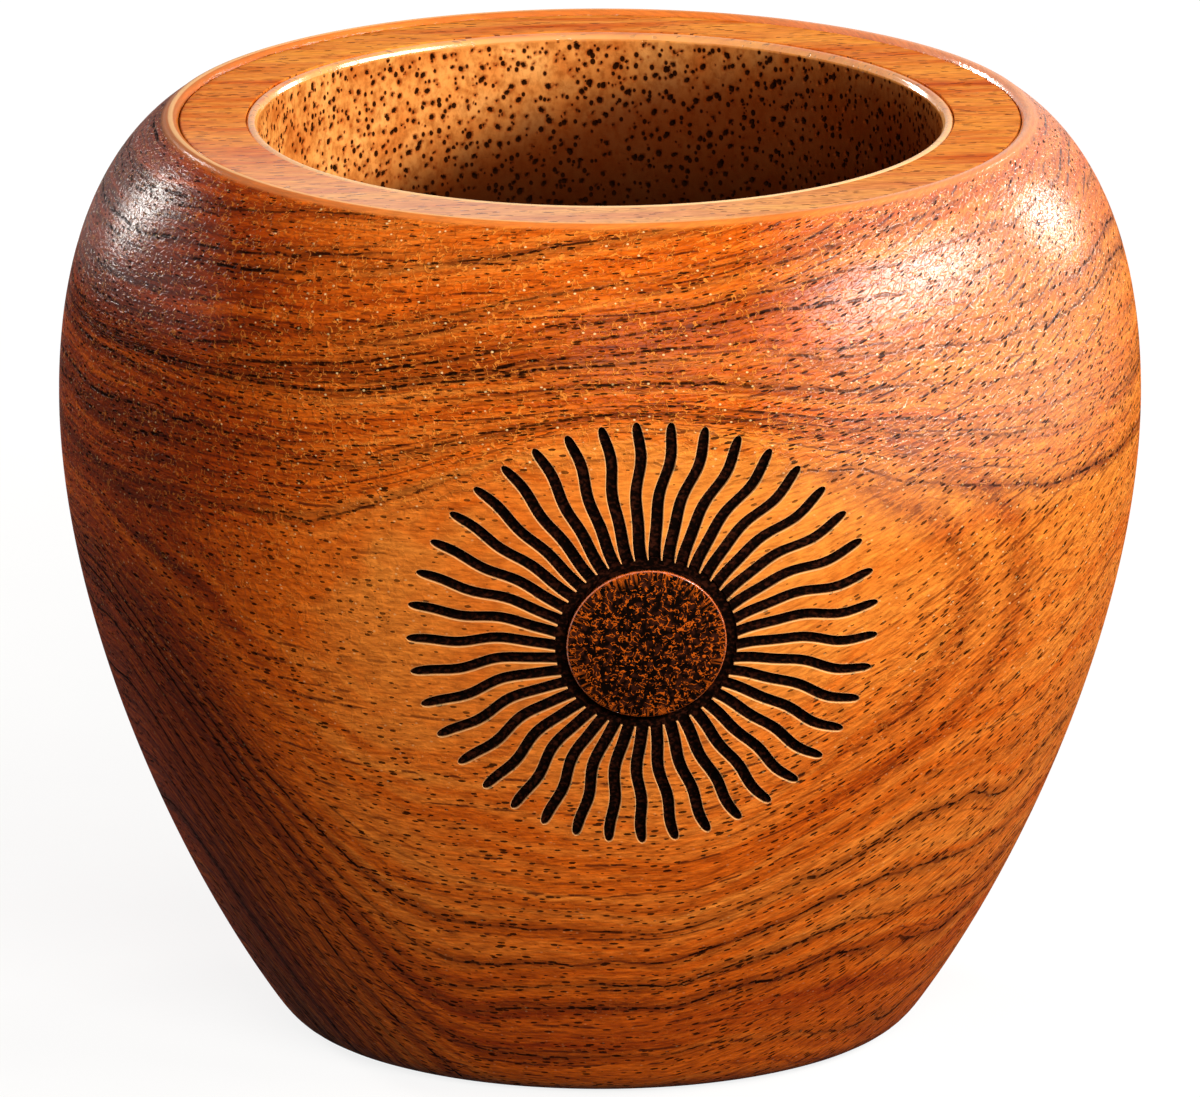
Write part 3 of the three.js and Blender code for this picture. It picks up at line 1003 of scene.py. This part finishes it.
    def add_pores(self, colour):
        """Open pores, fine ones all over and a few large ones, and the stitches."""
        small, luck = self.cells(self.flow((self.x, self.y, self.course), (0.9, 0.9, 3.0)))
        size = self.total(
            (luck[0], 0.26), (self.shade, 0.06), (self.plain, -0.08), (self.top, -0.05), (1.0, 0.09))
        scattered = self.within(size, small, 0.05)
        large, chance = self.cells(self.flow((self.x, self.y, self.course), (0.55, 0.55, 2.2)))
        size = self.total((chance[0], 0.3), (self.plain, -0.4), (1.0, -0.05))
        gaping = self.within(size, large, 0.05)
        self.pore = self.product(self.most(scattered, gaping), self.rest_of(self.bead))
        colour = self.cover(colour, PITCH, self.pore, self.scaled(self.lively, 0.3, 0.6))
        return self.cover(colour, PITCH, self.stitch, 0.95)

    def add_painted_glints(self, colour):
        """Painted glints: bright specks scattered as the curls are, more towards the top and fewer on the
        painted shade of the left.
        """
        spot, odds = self.cells(self.flow(self.place, (1, 1, 1.4)), 1.2)
        self.glint_speck = self.product(self.span(spot, 0.18, 0.09), self.span(odds[1], 0.5, 0.54), self.lively)
        out_of_shade = self.scaled(self.left, -0.35, 0.8)
        return self.cover(colour, CREAM, self.glint_speck, self.high, out_of_shade)

    def add_bead(self, colour):
        """The polished bead, with a painted highlight along its crest, most of all towards the left."""
        colour = self.cover(colour, HONEY, self.bead, 0.5)
        highlight_share = self.scaled(self.span(self.x, *CREST_HIGHLIGHT_SIDE), 0.4, 0.1)
        return self.cover(colour, CREAM, self.bead, self.span(self.z, *CREST_LEVELS), highlight_share)

    def add_carving(self, colour):
        """The scorched carving, with a painted highlight along its edges."""
        self.hatch = self.figure(self.place, (2.6, 2.6, 3.4), 3.0)
        self.burn = self.span(self.field("carve"), 0.02, 0.3)
        burnt = self.mix(self.span(self.hatch, 0.45, 0.7), CHAR, SCORCH)
        # Painted highlight: a pale line along the edges of the carving
        colour = self.cover(colour, CREAM, self.field("edge_highlight"), 0.58)
        return self.mix(self.burn, colour, burnt)

    def varnish(self):
        """How much varnish there is: most on the right shoulder, none in the carving."""
        gleam = self.product(self.span(self.x, *GLEAM_SIDE), self.span(self.z, *GLEAM_LEVELS), 0.17)
        behind = self.scaled(self.span(self.y, *BACK_SIDE), 0.17, 0.03)
        coat = self.most(self.polished, gleam, behind, self.product(self.bead, 0.22))
        bare = self.most(self.burn, self.product(self.most(self.pore, self.stitch), 0.8))
        return self.product(coat, self.rest_of(bare))


def paint_body():
    """The body's finish, from the bare layers up to the varnish."""
    wood = BodyWood()
    colour = wood.layers()
    for add in (
            wood.add_growth_lines, wood.add_fibres, wood.add_curls_and_painted_glints, wood.add_pores, wood.add_painted_glints,
            wood.add_bead, wood.add_carving):
        colour = add(colour)
    grain = wood.drawn(wood.course, 0.8, 1.6, 3.0)
    wrinkle = wood.worms(wood.flow((wood.y, wood.course, wood.x), (0.9, 1.5, 0.9)), 1.0, 0.1)
    raised = wood.total((grain, 0.05), (wood.curl, 0.05), (wrinkle, 0.05), (wood.glint_speck, 0.03))
    raised = wood.product(raised, wood.lively, wood.high)
    height = wood.total(
        (raised, 1.0), (wood.fibres, 0.045), (wood.pore, -0.1), (wood.stitch, -0.08), (wood.hatch, 0.04))
    roughness = wood.total((grain, 0.2), (wood.burn, 0.3), (1.0, 0.4))
    return wood.finish(colour, roughness, wood.relief(height), wood.varnish(), 0.2, wood.relief(height, 0.65))


def rim_figure(paint, place):
    """Colour and height of smooth wood with its grain straight along X and short dark dashes."""
    x, y, z = place
    streaks = paint.figure(place, (0.06, 0.5, 0.5), 3.0, 0.55)
    colour = paint.ramp(streaks, [(0.24, CHESTNUT), (0.37, AMBER), (0.53, HONEY), (0.72, FLAME)])
    # Painted reflection: paler towards the front, on the ring and on the lip
    colour = paint.cover(colour, CREAM, paint.span(y, *PAINTED_SHEEN_FRONT), 0.26)
    fibres = paint.figure(place, (0.6, 2.6, 2.6), 3.0, 0.6)
    colour = paint.mix(1.0, colour, paint.ramp(fibres, RIM_FIBRES), "MULTIPLY")
    near, luck = paint.cells(paint.flow((paint.total((x, 1.0), (streaks, 9.0)), y, z), (0.75, 2.7, 1.6)))
    dash = paint.within(paint.scaled(luck[0], 0.36, 0.03), near, 0.06)
    colour = paint.cover(colour, UMBER, dash, 0.8)
    return colour, paint.total((fibres, 0.02), (dash, -0.05))


def paint_liner():
    """Bare tan wood full of open pores, with painted shade down inside and a polished lip with a painted
    highlight.
    """
    paint = Paint("liner_wood")
    place = paint.millimetres()
    even = paint.flow(place)
    deep, crest = paint.field("pore"), paint.field("crest")
    inside = paint.rest_of(crest)
    mottle = paint.noise(even, 0.3, 3.0)
    colour = paint.ramp(mottle, [(0.3, RUSSET), (0.48, TAN), (0.66, STRAW)])
    crumbs = paint.noise(paint.flow(place, (1, 1, 0.7)), 1.5, 4.0, 0.6)
    colour = paint.mix(0.9, colour, paint.ramp(crumbs, LINER_CRUMBS), "MULTIPLY")

    # Small pores between the open ones of the mesh, and a dark halo round both
    small, odds = paint.cells(paint.flow(place, (1, 1, 0.8)), 1.6)
    room = paint.math("SUBTRACT", paint.scaled(odds[0], 0.2, 0.18), small)
    soft = paint.product(paint.span(room, -0.12, 0.04), inside)
    hole = paint.product(paint.span(room, 0.0, 0.1), inside)
    colour = paint.cover(colour, CHESTNUT, paint.most(paint.span(deep, -0.18, 0.02), soft), 0.55)

    # Painted shade below a tilted line inside the bore, darkest deep down, and the dark insides of the pores
    bore_shade_share = paint.total((paint.field("bore_shade"), 1.0), (mottle, 0.3), (1.0, -0.15))
    colour = paint.cover(colour, UMBER, paint.span(bore_shade_share, 0.0, 1.0), 0.95)
    low = paint.span(place[2], *DEEP_SHADE_LEVELS)
    colour = paint.cover(colour, PITCH, low, paint.span(bore_shade_share, 0.3, 1.0), 0.85)
    colour = paint.cover(colour, PITCH, paint.most(paint.span(deep, -0.02, 0.07), hole), 0.96)

    # The lip, of the rim ring's wood, with a painted highlight on its inner edge and on its top, more towards
    # the front
    rim_colour, rim_height = rim_figure(paint, place)
    colour = paint.mix(crest, colour, rim_colour)
    colour = paint.cover(colour, FLAME, paint.field("lip"), 0.5)
    highlight_share = paint.scaled(paint.span(place[1], *LIP_HIGHLIGHT_FRONT), 0.5, 0.15)
    colour = paint.cover(colour, CREAM, crest, highlight_share)

    grain = paint.noise(even, 1.2, 3.0)
    height = paint.total((paint.product(grain, inside), 0.06), (hole, -0.14), (rim_height, 0.3))
    roughness = paint.scaled(grain, 0.2, 0.5)
    return paint.finish(colour, roughness, paint.relief(height, 0.8), paint.product(crest, 0.6), 0.14)


def paint_ring():
    """Smooth wood, shiniest at the left front."""
    paint = Paint("rim_wood")
    place = paint.millimetres()
    colour, height = rim_figure(paint, place)
    sheen = paint.figure(place, (0.3, 0.9, 0.9))
    roughness = paint.scaled(sheen, 0.2, 0.35)
    front = paint.product(paint.span(place[1], *RING_FRONT), paint.span(place[0], *RING_LEFT))
    coat = paint.total((front, 0.5), (sheen, 0.12), (1.0, 0.01))
    return paint.finish(colour, roughness, paint.relief(height), coat, 0.18)


def paint_disc():
    """Scorched wood with short glowing curls and a fringe of them at the edge."""
    paint = Paint("burnt_wood")
    place = paint.flow(paint.millimetres())
    rim, right, up = paint.field("rim"), paint.field("right"), paint.field("up")
    broken = paint.noise(place, 1.8, 1.0)
    wide = paint.product(paint.worms(place, 1.5, 0.034), paint.span(broken, 0.49, 0.54))
    short = paint.product(paint.worms(place, 2.4, 0.05), paint.span(paint.noise(place, 2.6, 1.0), 0.52, 0.57))
    spokes = paint.figure((right, up, rim), (26.0, 26.0, 3.0), 1.0)
    fringe = paint.span(paint.total((spokes, 1.0), (rim, 0.5), (1.0, -0.5)), 0.5, 0.58)
    curl = paint.most(wide, short, paint.product(fringe, paint.span(rim, 0.8, 0.95), 0.55))
    face = paint.span(rim, 1.03, 1.0)
    edge = paint.product(paint.span(rim, 0.978, 0.988), paint.span(rim, 1.005, 0.995))
    burnt = paint.mix(paint.span(broken, 0.4, 0.7), CHAR, SCORCH)
    colour = paint.cover(burnt, EMBER, curl, face, 0.8)
    colour = paint.cover(colour, EMBER, edge, 0.85)
    height = paint.total((curl, 0.06), (broken, 0.05))
    roughness = paint.scaled(curl, -0.15, 0.6)
    return paint.finish(colour, roughness, paint.relief(height), edge, 0.15)


def way_out(turn, rise):
    """The way out from the cup at a turn and a rise, in degrees."""
    turn, rise = math.radians(turn), math.radians(rise)
    return Vector((math.sin(turn) * math.cos(rise), -math.cos(turn) * math.cos(rise), math.sin(rise)))


def place_camera():
    """The photograph's camera, aimed just above a point on the cup's axis."""
    back = way_out(CAMERA_TURN, CAMERA_ELEVATION)
    facing = (-back).to_track_quat("-Z", "Y")
    lens = bpy.data.cameras.new("photo_camera")
    lens.sensor_width = SENSOR_WIDTH
    lens.lens = PIXELS_PER_MM * CAMERA_DISTANCE / IMAGE_WIDTH * SENSOR_WIDTH
    lens.clip_end = VIEW_DEPTH
    aim = Vector((0, 0, AIM_LEVEL)) + facing @ Vector((0, AIM_LIFT, 0))
    place = (aim + back * CAMERA_DISTANCE) * MM
    bpy.context.scene.camera = add_object("photo_camera", lens, place, facing)


def area_light(name, turn, rise, distance, size, power):
    """A warm lamp that faces the middle of the cup."""
    back = way_out(turn, rise)
    lamp = bpy.data.lights.new(name, "AREA")
    lamp.shape = "RECTANGLE"
    lamp.size, lamp.size_y = size
    lamp.energy = power
    lamp.color = LAMP_COLOUR
    place = back * distance + Vector((0, 0, CUP_MIDDLE))
    add_object(name, lamp, place, (-back).to_track_quat("-Z", "Y"))


def showing_rays(tree):
    """1 for the rays that show the background: to the camera, off gloss or through glass."""
    path = tree.nodes.new("ShaderNodeLightPath")
    shown = path.outputs["Is Camera Ray"]
    for kind in ("Is Glossy Ray", "Is Transmission Ray"):
        either = tree.nodes.new("ShaderNodeMath")
        either.operation = "MAXIMUM"
        tree.links.new(shown, either.inputs[0])
        tree.links.new(path.outputs[kind], either.inputs[1])
        shown = either.outputs[0]
    return shown


def light_scene():
    """The lamps, a faint light from all round and a white backdrop."""
    for name, settings in LAMPS.items():
        area_light(name, *settings)
    world = bpy.data.worlds.new("studio")
    world.use_nodes = True
    nodes, links = world.node_tree.nodes, world.node_tree.links
    ambient = nodes["Background"]
    ambient.inputs["Color"].default_value = AMBIENT_COLOUR
    ambient.inputs["Strength"].default_value = AMBIENT_STRENGTH
    backdrop = nodes.new("ShaderNodeBackground")
    backdrop.inputs["Color"].default_value = grey(1)
    backdrop.inputs["Strength"].default_value = 1
    shown = nodes.new("ShaderNodeMixShader")
    links.new(showing_rays(world.node_tree), shown.inputs[0])
    links.new(ambient.outputs[0], shown.inputs[1])
    links.new(backdrop.outputs[0], shown.inputs[2])
    links.new(shown.outputs[0], nodes["World Output"].inputs["Surface"])
    bpy.context.scene.world = world
    bpy.context.scene.view_settings.view_transform = "Standard"


def paint_floor():
    """White to the rays that show it, with the cup's shadow left in."""
    paint = Paint("floor_paint")
    dust = paint.figure(paint.millimetres(), (0.02, 0.02, 0.02), 3.0)
    seen = showing_rays(paint.tree)
    pale = paint.ramp(dust, [(0.3, grey(FLOOR_GREYS[0])), (0.7, grey(FLOOR_GREYS[1]))])
    colour = paint.mix(seen, grey(FLOOR_BOUNCE), pale)
    paint.feed(paint.shader.inputs["Emission Color"], grey(1))
    paint.feed(paint.shader.inputs["Emission Strength"], paint.product(seen, FLOOR_GLOW))
    return paint.finish(colour, 0.9, paint.relief(dust))


def build_floor():
    mesh = bpy.data.meshes.new("floor")
    corners = [(-1, -1, 0), (1, -1, 0), (1, 1, 0), (-1, 1, 0)]
    mesh.from_pydata((np.array(corners) * FLOOR_HALF).tolist(), [], [(0, 1, 2, 3)])
    mesh.materials.append(paint_floor())
    add_object("floor", mesh)


def dress(piece, material, node):
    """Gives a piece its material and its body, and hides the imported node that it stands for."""
    piece.data.materials.append(material)
    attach(piece, "root")
    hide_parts(node)


place_camera()
light_scene()
build_floor()
dress(build_body(), paint_body(), "cup_body")
dress(build_liner(), paint_liner(), "liner")
dress(build_ring(), paint_ring(), "rim_ring")
dress(build_disc(), paint_disc(), "sun_disc")
